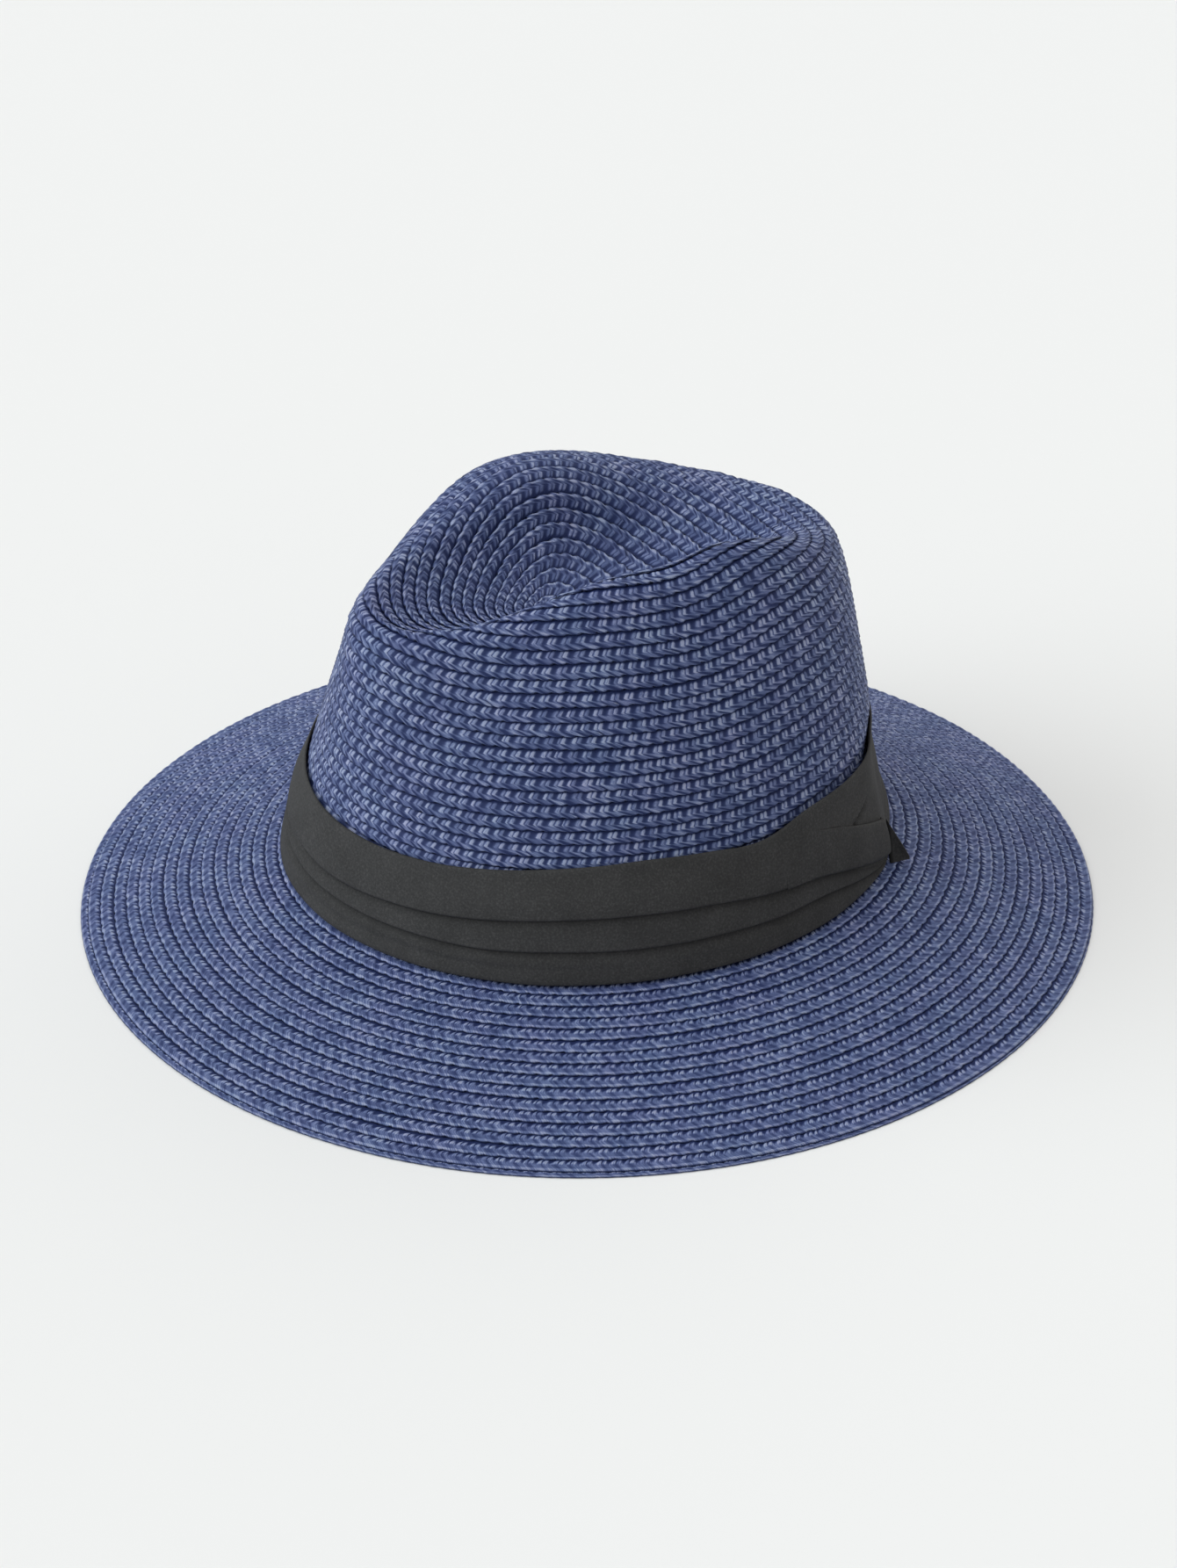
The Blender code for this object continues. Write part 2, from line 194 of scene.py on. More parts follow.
# each angle's outline, from the tip over the rim and down the wall, in equal steps along it
def crownTable(angles=720, steps=480):
    phi = np.linspace(0, 2 * np.pi, angles, endpoint=False)
    c, s = np.cos(phi), np.sin(phi)
    across = np.where(c > 0, crown["rim"][0], crown["rim"][1])
    along = np.where(s < 0, crown["rim"][2], crown["rim"][3])
    reach = 1 / np.hypot(c / across, s / along)
    left, right, front, back = np.maximum(c, 0), np.maximum(-c, 0), np.maximum(-s, 0), np.maximum(s, 0)
    lift = crown["lift"]
    corners = ((left * back) ** 2 * lift[0] + (right * back) ** 2 * lift[1]
               + (left * front) ** 2 * lift[2] + (right * front) ** 2 * lift[3])
    crest = quarterMix(phi, *crown["crest"]) + 4 * corners
    drop = np.radians(quarterMix(phi, *crown["drop"]))
    shoulder, pull = quarterMix(phi, *crown["reach"]), quarterMix(phi, *crown["pull"])
    flare, rounding = quarterMix(phi, *crown["flare"]), quarterMix(phi, *crown["round"])
    zero = np.zeros_like(phi)
    tip = np.stack([zero, zero + crown["bowl"]], -1)
    bowl = np.stack([crown["flat"] * reach, zero + crown["bowl"]], -1)
    rim = np.stack([reach, crest], -1)
    foot = np.stack([oval(phi, hat["headLength"], hat["headWidth"]) + hat["ply"], zero], -1)
    out = rim + shoulder[:, None] * np.stack([np.cos(drop), -np.sin(drop)], -1)
    up = foot + pull[:, None] * np.stack([-flare, zero + 1], -1)
    bowlEnd = 1 - np.minimum(0.7, rounding / (2 * np.linalg.norm(rim - bowl, axis=-1)))
    wallStart = np.minimum(0.6, rounding / (3 * shoulder))
    inner = bezier([tip, bowl, rim], bowlEnd[:, None] * np.linspace(0, 1, 60))
    wallShare = wallStart[:, None] + (1 - wallStart[:, None]) * np.linspace(0, 1, 120)
    wall = bezier([rim, out, up, foot], wallShare)
    bendShare = np.linspace(0, 1, 30)[1:-1]
    bend = bezier([inner[:, -1], rim, wall[:, 0]], np.broadcast_to(bendShare, (angles, len(bendShare))))
    line = np.concatenate([inner, bend, wall], 1)
    run = np.concatenate([zero[:, None], np.cumsum(np.linalg.norm(np.diff(line, axis=1), axis=-1), 1)], 1)
    share = np.linspace(0, 1, steps)
    spot = np.empty((angles, steps, 4))
    for k in range(angles):
        for axis in (0, 1):
            spot[k, :, axis] = np.interp(share * run[k, -1], run[k], line[k, :, axis])
    inward = np.clip(1 - spot[..., 0] / reach[:, None], 0, 1) ** 2
    spot[..., 2], spot[..., 3] = crown["tip"][0] * inward, crown["tip"][1] * inward
    # the tied band draws the wall in behind the knot
    degrees = np.degrees(phi)[:, None]
    drawn = rise(degrees, *crown["squeezeFrom"]) * (1 - rise(degrees, *crown["squeezeTo"]))
    onWall = np.arange(steps) > steps // 2
    spot[..., 0] -= crown["squeeze"] * drawn * onWall * (1 - rise(spot[..., 1], *crown["squeezeTop"]))
    way = np.gradient(spot[..., :2], axis=1)
    way /= np.linalg.norm(way, axis=-1, keepdims=True)
    return {"spot": spot, "normal": np.stack([-way[..., 1], way[..., 0]], -1)}


table = crownTable()


def lookUp(field, phi, share):
    angles, steps = field.shape[:2]
    a = (phi / (2 * np.pi) % 1) * angles
    b = np.clip(share, 0, 1) * (steps - 1)
    i, j = np.floor(a).astype(int), np.minimum(np.floor(b).astype(int), steps - 2)
    fa, fb = (a - i)[..., None], (b - j)[..., None]
    i, k = i % angles, (i + 1) % angles
    return ((field[i, j] * (1 - fb) + field[i, j + 1] * fb) * (1 - fa)
            + (field[k, j] * (1 - fb) + field[k, j + 1] * fb) * fa)


def onCrown(phi, share, offset):
    spot, normal = lookUp(table["spot"], phi, share), lookUp(table["normal"], phi, share)
    radius = np.maximum(spot[..., 0] + normal[..., 0] * offset, 0)
    height = spot[..., 1] + normal[..., 1] * offset + hat["brimRise"] + hat["gap"]
    return np.stack([radius * np.cos(phi) + spot[..., 2], radius * np.sin(phi) + spot[..., 3], height], -1)


# courses lie wider in the crease than on the side wall
def onCourse(phi, turn, offset):
    return onCrown(phi, turn + crown["crowding"] * np.sin(np.pi * np.clip(turn, 0, 1)), offset)


def onBrim(phi, share, offset):
    start = oval(phi, hat["headLength"], hat["headWidth"]) + hat["landing"]
    end = oval(phi, hat["brimLength"], hat["brimWidth"])
    slope = (hat["brimEdge"] - hat["brimRise"]) / (end - start)
    lean = np.sqrt(1 + slope ** 2)
    radius = start + (end - start) * share - slope / lean * offset
    height = hat["brimRise"] + (hat["brimEdge"] - hat["brimRise"]) * np.maximum(share, 0) + offset / lean
    # the inner edge turns up to the crown's foot
    height = height + hat["upturn"] * np.maximum(-share, 0)
    return np.stack([radius * np.cos(phi), radius * np.sin(phi), height], -1)


# a point beside the side wall, by its height over the brim
def besideWall(phi, height, offset):
    phi, height, offset = np.broadcast_arrays(phi, height, offset)
    flatPhi, flatHeight = phi.ravel(), height.ravel()
    angles, steps = table["spot"].shape[:2]
    a = (flatPhi / (2 * np.pi) % 1) * angles
    i = np.floor(a).astype(int)
    radius = np.zeros_like(flatPhi)
    for k, weight in ((i % angles, 1 - (a - i)), ((i + 1) % angles, a - i)):
        lower = table["spot"][k][:, steps // 2:]
        below = (lower[..., 1] > flatHeight[:, None]).sum(1).clip(1, lower.shape[1] - 1)
        pick = np.arange(len(k))
        p, q = lower[pick, below - 1], lower[pick, below]
        t = np.clip((p[:, 1] - flatHeight) / (p[:, 1] - q[:, 1]), 0, 1)
        radius += weight * (p[:, 0] * (1 - t) + q[:, 0] * t)
    radius = radius.reshape(phi.shape) + offset
    return np.stack([radius * np.cos(phi), radius * np.sin(phi), height + hat["brimRise"] + hat["gap"]], -1)


# the sewn braid: one ribbon wound in a spiral, each turn lapped over the next one out
braid = {"columnStep": 1.44 * mm, "hiddenStep": 4.8 * mm, "overlap": 0.40, "startAngle": 100,
         "across": (0.0, 0.34, 0.46, 0.63, 0.75, 0.90, 1.0, 0.62, 0.18), "frontRows": 7,
         "relief": (0.0, 0.7, 1.0, 0.6, 0.2, 0.35, 0.0, 0.2, 0.0), "lipFrom": 0.85, "lipRelief": 2.8,
         "beat": (0.17, 0.50, 0.85), "wobble": 0.035, "wobblesPerTurn": 23,
         "teeth": 0.45, "calmEdge": 0.8, "calmFrom": (0.93, 0.97),
         "loose": 0.12, "strayBeat": 0.28, "strayColumn": 0.11, "leastRadius": 26 * mm,
         "endNarrows": 0.72, "endThins": 0.45, "endSinks": 0.55 * mm}
# slant, thick, pair and lip are in mm; hidden and firstShare are shares of the way from the ribbon's start
crownWeave = {"courses": 41, "turns": (0.75, 42.0), "hidden": (0.815, 2), "firstShare": 0.002,
              "turn": 0.66, "slant": (2.1, 13.0), "lean": (-0.90 * mm, 1.46 * mm),
              "thick": (0.80, 0.36, 0.52, 0.46, 0.34, 0.36, -0.26, -0.46, -0.34),
              "pair": (0.16, 0.14, -0.34), "lip": (0.06, 0.10, -0.14)}
brimWeave = {"courses": 16, "turns": (-0.2, 17.0), "hidden": (-1, 0.02), "firstShare": -0.040,
             "turn": 0.58, "slant": (4.4, 5.2), "lean": (-0.58 * mm, 0.90 * mm),
             "thick": (0.34, 0.30, 0.42, 0.38, 0.30, 0.34, -0.32, -0.44, -0.32),
             "pair": (0.15, 0.13, -0.32), "lip": (0.06, 0.08, -0.15)}


def braidRibbon(name, place, weave):
    courses, turns = weave["courses"], weave["turns"]
    start = math.radians(braid["startAngle"])

    def lipShare(turn):
        return np.minimum(turn / courses, 1)

    # columns go in beats, one for each pair of strands, and lie wider apart where the band hides them
    fine = np.linspace(turns[0], turns[1], 60000)
    path = place(start + 2 * np.pi * fine, lipShare(fine), np.zeros_like(fine))
    reached = lipShare(fine[1:])
    hidden = (reached > weave["hidden"][0]) & (reached < weave["hidden"][1])
    step = np.where(hidden, braid["hiddenStep"], braid["columnStep"])
    count = np.concatenate([[0], np.cumsum(np.linalg.norm(np.diff(path, axis=0), axis=1) / step)])
    perBeat = len(braid["beat"])
    beats = int(count[-1] // perBeat)
    columns = beats * perBeat
    phase = np.arange(columns) % perBeat
    beat = np.arange(columns) // perBeat + np.array(braid["beat"])[phase]
    turn = np.interp(beat * perBeat, count, fine)
    radius = np.hypot(*place(start + 2 * np.pi * turn, lipShare(turn), 0 * turn)[:, :2].T)
    across = np.array(braid["across"] + braid["across"][:1])
    thick = np.array(weave["thick"] + weave["thick"][:1]) * mm
    weight = np.array(braid["relief"] + braid["relief"][:1])
    isLip = across > braid["lipFrom"]
    pairs = np.array(weave["pair"])[phase] * mm * rng.uniform(0.55, 1.25, columns)
    beads = np.array(weave["lip"])[phase] * mm * rng.uniform(0.5, 1.3, columns)
    weight = np.where(isLip, weight * braid["lipRelief"], weight)
    relief = np.where(isLip, beads[:, None], pairs[:, None]) * weight
    knots = int(turns[1] * braid["wobblesPerTurn"]) + 3
    wobble = rng.normal(0, braid["wobble"], knots)
    wobble = np.interp(turn * braid["wobblesPerTurn"], np.arange(knots), wobble)
    # past the last course the ribbon's end narrows and runs under the edge
    ending = np.clip(turn - courses, 0, 1)[:, None]
    width = (1 + braid["overlap"]) * (1 - braid["endNarrows"] * ending) / courses
    share = lipShare(turn)[:, None] + wobble[:, None] / courses * (1 - ending)
    # the lips are toothed, less so at the outer edge
    toothed = beads / mm * braid["teeth"] * (1 - braid["calmEdge"] * rise(lipShare(turn), *braid["calmFrom"]))
    share = share - (1 - across) * width + np.where(isLip, toothed[:, None], 0) / courses
    offset = weave["lean"][0] + weave["lean"][1] * across + thick + relief
    offset = offset * (1 - braid["endThins"] * ending) - braid["endSinks"] * ending
    slant = np.where(across < weave["turn"], *weave["slant"]) * np.abs(across - weave["turn"])
    loose = np.repeat(rng.normal(1, braid["loose"], beats), perBeat)[:, None]
    stray = np.repeat(rng.normal(0, braid["strayBeat"], beats), perBeat)
    stray = stray + rng.normal(0, braid["strayColumn"], columns)
    shift = (slant * loose + stray[:, None]) * mm / np.maximum(radius, braid["leastRadius"])[:, None]
    points = place(start + 2 * np.pi * turn[:, None] + shift, np.maximum(share, weave["firstShare"]), offset)
    piece, column, row = gridPiece(name, points)
    strandWay = np.where(np.arange(len(across)) < braid["frontRows"], across, 2 - across)
    piece.data.uv_layers[0].name = "strandWay"
    writeMap(piece, "strandWay", beat[column], strandWay[row])
    # a map without overlaps, a strip for each turn
    first = np.repeat(column.reshape(-1, 4).min(1), 4)
    lap = np.floor(turn[first] - turns[0])
    along = turn[column] - turns[0] - lap
    strips = math.ceil(turns[1] - turns[0]) + 1
    writeMap(piece, "OFBake", 0.003 + 0.99 * along, (lap + 0.03 + 0.94 * row / (len(across) - 1)) / strips)
    weldSeam(piece)
    smoothShade(piece)
    print(name, "columns", columns, "triangles", sum(len(face.vertices) - 2 for face in piece.data.polygons))
    return piece


crownPiece = braidRibbon("crownBraid", onCourse, crownWeave)
brimPiece = braidRibbon("brimBraid", onBrim, brimWeave)

# hat band: one folded strip with three plies, in mm and degrees; pleats are fractions from its top edge down
band = {"foot": 1.1, "tuck": 4.2, "hem": 5.0, "cloth": 0.40, "columns": 640, "standOff": 1.35,
        "lift": 2.0, "liftAt": 34, "liftSpread": 19, "hugFrom": (46, 60), "hugTo": (100, 130),
        "dense": 2.2, "denseFrom": (26, 31), "denseTo": (44, 50),
        "gather": {"height": 25.8, "at": 35.5, "slope": 0.39, "from": (34, 36.5), "to": (39.5, 43),
                   "high": 0.6, "deep": 1.3, "wide": 0.8, "shade": 0.75},
        "top": ((-110, 32.0), (-88, 32.0), (-74, 32.2), (-60, 33.2), (-47, 35.0), (-35, 36.6), (-18, 38.0),
                (-3, 36.9), (5, 35.4), (12, 35.6), (17, 37.8), (22, 39.6), (30, 40.4), (60, 40.5), (90, 40.0),
                (130, 38.0), (180, 36.0), (215, 33.6)),
        "pleatA": ((-110, .55), (-97, .52), (-72, .48), (-49, .43), (-32, .41), (-15, .41), (11, .465),
                   (27, .61), (40, .81), (52, .95), (62, .95), (75, .85), (90, .68), (105, .52), (130, .45),
                   (180, .44), (215, .5)),
        "pleatB": ((-110, .68), (-97, .70), (-72, .70), (-49, .71), (-32, .70), (0, .71), (11, .72),
                   (22, .75), (27, .78), (40, .92), (52, .98), (62, .98), (75, .93), (90, .80), (105, .73),
                   (130, .70), (180, .70), (215, .69)),
        "creaseC": ((-110, .0), (-85, .8), (-60, 1.0), (-40, .7), (-20, .0), (215, .0))}


# values between stops, averaged over a few degrees
def roundTheHat(phi, stops, blend=9):
    degrees, values = np.array(stops, float).T
    first = degrees[0]
    around = (np.degrees(phi)[:, None] + np.linspace(-blend, blend, 13) - first) % 360 + first
    return np.interp(around, np.append(degrees, first + 360), np.append(values, values[0])).mean(1)


# the band stands off by the folded end
def bandLift(phi):
    return band["lift"] * np.exp(-((np.degrees(phi) % 360 - band["liftAt"]) / band["liftSpread"]) ** 2)


# and hugs the wall behind it
def bandHug(phi):
    degrees = np.degrees(phi) % 360
    return rise(degrees, *band["hugFrom"]) * (1 - rise(degrees, *band["hugTo"]))


# the outer face of the upper ply: how far it stands from the wall at a height
def upperPly(phi, height, pleat, top):
    down = smoothStep((top - height) / np.maximum(top - pleat - band["tuck"] * 0.8, 4)) ** (1 + bandHug(phi))
    flare = 1.42 - 0.8 * bandHug(phi)
    return 0.70 - 0.15 * bandHug(phi) + flare * down + bandLift(phi) * np.clip(height / top, 0, 1) ** 2


def bandRows(phi):
    top, foot = roundTheHat(phi, band["top"], 4), band["foot"]
    span = top - foot
    ripple = 0.35 * np.sin(5 * phi + 0.6) + 0.25 * np.sin(11 * phi + 2.0)
    pleatA = top - roundTheHat(phi, band["pleatA"]) * span + 0.6 * ripple
    pleatB = np.minimum(top - roundTheHat(phi, band["pleatB"]) * span + 0.5 * ripple, pleatA - 1.0)
    tuckA = np.minimum(band["tuck"], (top - pleatA) * 0.5)
    tuckB = np.minimum(band["tuck"], np.maximum((pleatA - pleatB) * 0.8, 1.2))
    lift = bandLift(phi)
    # the painted shade under the pleats is deeper by the folded end
    drawn = 0.55 + 0.30 * rise(np.degrees(phi), -5, 30) * (1 - rise(np.degrees(phi), 60, 110))
    rows = []

    # height over the brim, distance from the wall, painted shade
    def add(height, offset, shade=1.0):
        rows.append((height + 0 * phi, offset + 0 * phi, shade + 0 * phi))

    # a pleat's edge, from the front round to the back
    def addFold(pleat, tuck, away, front, back, offsets):
        for height, offset in zip((front, 0, back, 0.5 * tuck, tuck - back, tuck), offsets):
            add(pleat + height, offset + away)

    for drop, offset in ((band["hem"], 0.0), (2.6, 0.02), (0.5, 0.12), (0.0, 0.38), (0.45, 0.64)):
        add(top - drop, offset + lift * ((top - drop) / top) ** 2)
    for f in (0.07, 0.15, 0.23, 0.29, 0.33, 0.36, 0.39, 0.42, 0.45, 0.50, 0.57, 0.66, 0.76, 0.86, 0.95):
        height = (top - 0.5) + f * (pleatA - top + 0.5)
        add(height, upperPly(phi, height, pleatA, top))
    foldA = lift * (pleatA / top) ** 2
    addFold(pleatA, tuckA, foldA, 0.35, 0.40, (2.10, 1.88, 1.64, 1.50, 1.32, 1.00))
    second = pleatA + tuckA - 0.45
    for f in (0.0, 0.12, 0.24, 0.36, 0.48, 0.60, 0.72, 0.84, 0.94):
        height = second + f * (pleatB - second)
        shade = 1 - drawn * np.exp(-np.maximum(pleatA - height, 0) / 1.7)
        swell = 1.12 * smoothStep((pleatA + 0.3 - height) / 5.0)
        add(height, 0.58 + swell + foldA * (height / pleatA) ** 2, shade)
    foldB = lift * (pleatB / top) ** 2
    addFold(pleatB, tuckB, foldB, 0.30, 0.35, (1.76, 1.54, 1.30, 1.18, 1.05, 0.74))
    third = pleatB + tuckB - 0.45
    creaseAt = top - 0.84 * span + 0.6 * ripple
    crease = roundTheHat(phi, band["creaseC"])
    for f in (0.0, 0.12, 0.24, 0.36, 0.46, 0.54, 0.62, 0.70, 0.78, 0.86, 0.93):
        height = third + f * (foot + 0.4 - third)
        bulge = 0.45 * np.exp(-((height - creaseAt - 1.2) / 1.1) ** 2)
        dent = 0.5 * np.exp(-((height - creaseAt + 0.5) / 0.8) ** 2)
        roll = crease * (bulge - dent)
        shade = 1 - drawn * np.exp(-np.maximum(pleatB - height, 0) / 1.5)
        add(height, 0.36 + 1.24 * smoothStep((pleatB + 0.3 - height) / 4.6) + roll, shade)
    for up, offset in ((0.35, 1.56), (0.0, 1.25), (0.35, 0.72), (1.2, 0.22), (band["hem"], 0.02)):
        add(foot + up, offset)
    return np.array(rows)


def makeBand():
    # columns lie closer by the folded end
    fine = np.linspace(0, 360, 3601)
    dense = 1 + band["dense"] * rise(fine, *band["denseFrom"]) * (1 - rise(fine, *band["denseTo"]))
    run = np.concatenate([[0], np.cumsum(dense[1:])])
    phi = np.radians(np.interp(np.linspace(0, run[-1], band["columns"] + 1), run, fine))
    rows = bandRows(phi)
    height, offset, shade = rows[:, 0].T, rows[:, 1].T, rows[:, 2].T
    slack = 0.10 * np.sin(7 * phi[:, None] + height * 0.21)
    slack = slack + 0.07 * np.sin(17 * phi[:, None] - height * 0.35 + 1.0)
    # small tuck over the folded end, with painted shade in its groove
    degrees = np.degrees(phi)[:, None]
    gather = band["gather"]
    above = height - (gather["height"] + (degrees - gather["at"]) * gather["slope"])
    groove = np.exp(-(above / gather["wide"]) ** 2)
    tuck = gather["high"] * np.exp(-((above - 1.9) / 1.3) ** 2) - gather["deep"] * groove
    gathered = rise(degrees, *gather["from"]) * (1 - rise(degrees, *gather["to"]))
    offset = offset + np.where(offset > 0.5, slack, 0)
    front = offset > 0.65
    offset = offset + np.where(front, tuck * gathered, 0)
    shade = shade * np.where(front, 1 - gather["shade"] * groove * gathered, 1)
    standOff = band["standOff"] - 0.4 * bandHug(phi)[:, None]
    points = besideWall(phi[:, None] + 0 * height, height * mm, (standOff + offset) * mm)
    points[-1] = points[0]
    piece, column, row = gridPiece("pleatedBand", points)
    topRow, plainColumn = 6, 200
    length, width = runAlong(points[:, topRow]), runAlong(points[plainColumn])
    piece.data.uv_layers[0].name = "clothWay"
    writeMap(piece, "clothWay", length[column], width[row])
    # painted shade of the pleats and the tuck, carried in the foldShade map
    writeMap(piece, "foldShade", shade[column, row], 0 * row)
    weldSeam(piece, fill=False)
    area = sum(face.area for face in piece.data.polygons)
    applyModifier(piece, "SOLIDIFY", thickness=band["cloth"] * mm, offset=0)
    smoothShade(piece)
    print("band cloth", round(length[-1], 4), "by", round(width[-1], 4), "area", round(area, 5))
    return piece, float(length[-1]), area


bandPiece, bandLong, bandArea = makeBand()

# the folded-over end lying on the band, and the corner of cloth that comes out behind it
foldEnd = {"from": 13.0, "to": 47.8, "columns": 72, "frontRows": 22,
           "topEdge": ((13, 35.4), (18, 34.6), (30, 29.0), (47, 17.8), (49, 17.2)),
           "raised": ((12, -.45), (18, -.30), (22, -.12), (27, .15), (33, .55), (40, 1.10), (45, 1.6),
                      (49, 1.8))}


def makeFoldEnd():
    f = foldEnd
    columns = f["columns"]
    degrees = f["from"] + (f["to"] - f["from"]) * (1 - (1 - np.linspace(0, 1, columns)) ** 1.5)
    phi = np.radians(degrees)
    top = roundTheHat(phi, band["top"], 4)
    pleat = top - roundTheHat(phi, band["pleatA"]) * (top - band["foot"])
    topEdge = np.interp(degrees, *zip(*f["topEdge"]))
    along = (degrees - f["from"]) / (f["to"] - f["from"])
    raised = np.interp(degrees, *zip(*f["raised"]))
    endRound = np.sqrt(np.clip(1 - np.clip((along - 0.955) / 0.045, 0, 1) ** 2, 0, 1))
    # from the foot up the front face, over the top edge and down behind
    level = np.linspace(0.0, 0.97, f["frontRows"])
    level = np.append(level, [0.985, 0.997, 1.0, 0.99, 0.95, 0.8, 0.4, 0.02])
    face = np.append(np.ones(f["frontRows"]), [0.88, 0.66, 0.4, 0.15, 0.05, 0.0, 0.0, 0.0])
    face[:3] = (0.55, 0.85, 0.97)
    rows = len(level)
    low = np.maximum(pleat - 0.25, band["foot"] - 0.2)[:, None]
    height = low + level * (topEdge[:, None] - low)
    base = np.stack([upperPly(phi, height[:, k], pleat, top) for k in range(rows)], 1)
    pillow = 1 + 0.22 * np.sin(np.pi * np.clip(level, 0, 1)) * smoothStep((along - 0.2) / 0.5)[:, None]
    risen = (raised[:, None] + 0.25) * face * endRound[:, None] * pillow
    sunk = 0.25 * (1 - face) * (1 - endRound[:, None])
    offset = base + 0.25 + risen - sunk
    points = besideWall(phi[:, None] + 0 * height, height * mm, (band["standOff"] + offset) * mm)
    points = np.concatenate([points, points[:, :1]], 1)
    piece, column, row = gridPiece("bandFoldedEnd", points)
    piece.data.uv_layers[0].name = "clothWay"
    writeMap(piece, "clothWay", column / columns * 0.055, row / rows * 0.07)
    writeMap(piece, "foldShade", 0 * column + 1.0, 0 * row)
    weldSeam(piece)
    smoothShade(piece)
    return piece


# corners of the tail: degrees, height over the brim and distance, in mm
tail = {"rootTop": (50.8, 14.2, 2.9), "rootFoot": (49.0, -1.0, 2.5), "tip": (51.0, 0.4, 8.4), "cloth": 0.5,
        "columns": 16, "rows": 14, "tipLevel": 0.45, "tipWidth": 0.06, "bow": 0.9 * mm}


def makeTail():
    top, foot, tip = (besideWall(np.radians(degrees), np.array(height * mm), (away + band["standOff"]) * mm)
                      for degrees, height, away in (tail["rootTop"], tail["rootFoot"], tail["tip"]))
    columns, rows = tail["columns"], tail["rows"]
    u, v = np.meshgrid(np.linspace(0, 1, columns), np.linspace(0, 1, rows), indexing="ij")
    mid = foot * (1 - tail["tipLevel"]) + top * tail["tipLevel"]
    root = foot * (1 - v[..., None]) + top * v[..., None]
    end = tip + (root - mid) * tail["tipWidth"]
    points = root * (1 - u[..., None]) + end * u[..., None]
    outward = np.cross(top - foot, tip - foot)
    outward /= np.linalg.norm(outward)
    points = points + outward * (tail["bow"] * np.sin(np.pi * u) * np.cos(2.2 * v - 0.4))[..., None]
    piece, column, row = gridPiece("bandTailCorner", points)
    piece.data.uv_layers[0].name = "clothWay"
    writeMap(piece, "clothWay", column / columns * 0.009, row / rows * 0.012)
    # painted shade at the tail's root, where it meets the folded end
    writeMap(piece, "foldShade", 0.15 + 0.85 * rise(column / columns, 0.04, 0.24), 0 * row)
    applyModifier(piece, "SOLIDIFY", thickness=tail["cloth"] * mm, offset=0)
    applyModifier(piece, "BEVEL", width=0.18 * mm, segments=2)
    smoothShade(piece)
    return piece


foldPiece = makeFoldEnd()
tailPiece = makeTail()

# sweatband: a ribbon inside the crown, in mm, that reaches a little below its foot
sweat = {"height": 28.0, "foot": -0.9, "cloth": 0.8, "columns": 240, "standOff": 0.75,
         "seamAt": 4.0, "seamWide": 1.2}


def makeSweatband():
    phi = np.linspace(0, 2 * np.pi, sweat["columns"] + 1)
    face = -hat["ply"] / mm - sweat["standOff"]
    height = np.linspace(0.6, sweat["height"] - 0.6, 16)
    height = np.concatenate([[sweat["foot"], -0.5], height, [sweat["height"]]])
    wave = 0.10 * np.sin(6 * phi[:, None] + 0.12 * height) + 0.06 * np.sin(15 * phi[:, None] + 1.3)
    seam = -0.25 * np.exp(-((height - sweat["seamAt"]) / sweat["seamWide"]) ** 2)
    points = besideWall(phi[:, None], height * mm, (face - 0.12 + wave * 0.6 - seam * 0.3) * mm)
    points[-1] = points[0]
    piece, column, row = gridPiece("innerSweatband", points)
    seamRow = 4
    length = runAlong(points[:, seamRow])
    piece.data.uv_layers[0].name = "clothWay"
    writeMap(piece, "clothWay", length[column], height[row] * mm)
    weldSeam(piece, fill=False)
    area = sum(face.area for face in piece.data.polygons)
    applyModifier(piece, "SOLIDIFY", thickness=sweat["cloth"] * mm, offset=0)
    smoothShade(piece)
    return piece, float(length[-1]), area


sweatPiece, sweatLong, sweatArea = makeSweatband()
print("cloth pieces made")


def newMaterial(name):
    material = bpy.data.materials.new(name)
    material.use_nodes = True
    return material, material.node_tree.nodes["Principled BSDF"]


def addNode(tree, kind, **values):
    node = tree.nodes.new(kind)
    for key, value in values.items():
        if key in node.inputs:
            node.inputs[key].default_value = value
        else:
            setattr(node, key, value)
    return node


def ramp(tree, source, stops):
    node = tree.nodes.new("ShaderNodeValToRGB")
    while len(node.color_ramp.elements) < len(stops):
        node.color_ramp.elements.new(0.5)
    for element, (position, colour) in zip(node.color_ramp.elements, stops):
        colour = (colour, colour, colour) if isinstance(colour, float) else colour
        element.position, element.color = position, (*colour, 1)
    tree.links.new(source, node.inputs["Fac"])
    return node.outputs["Color"]


def sums(tree, operation, first, second=None, third=None):
    node = addNode(tree, "ShaderNodeMath", operation=operation)
    for socket, value in zip(node.inputs, (first, second, third)):
        if isinstance(value, (int, float)):
            socket.default_value = value
        elif value is not None:
            tree.links.new(value, socket)
    return node.outputs["Value"]


def tinted(tree, first, second):
    node = addNode(tree, "ShaderNodeMix", data_type="RGBA", blend_type="MULTIPLY")
    node.inputs["Factor"].default_value = 1.0
    tree.links.new(first, node.inputs["A"])
    tree.links.new(second, node.inputs["B"])
    return node.outputs["Result"]


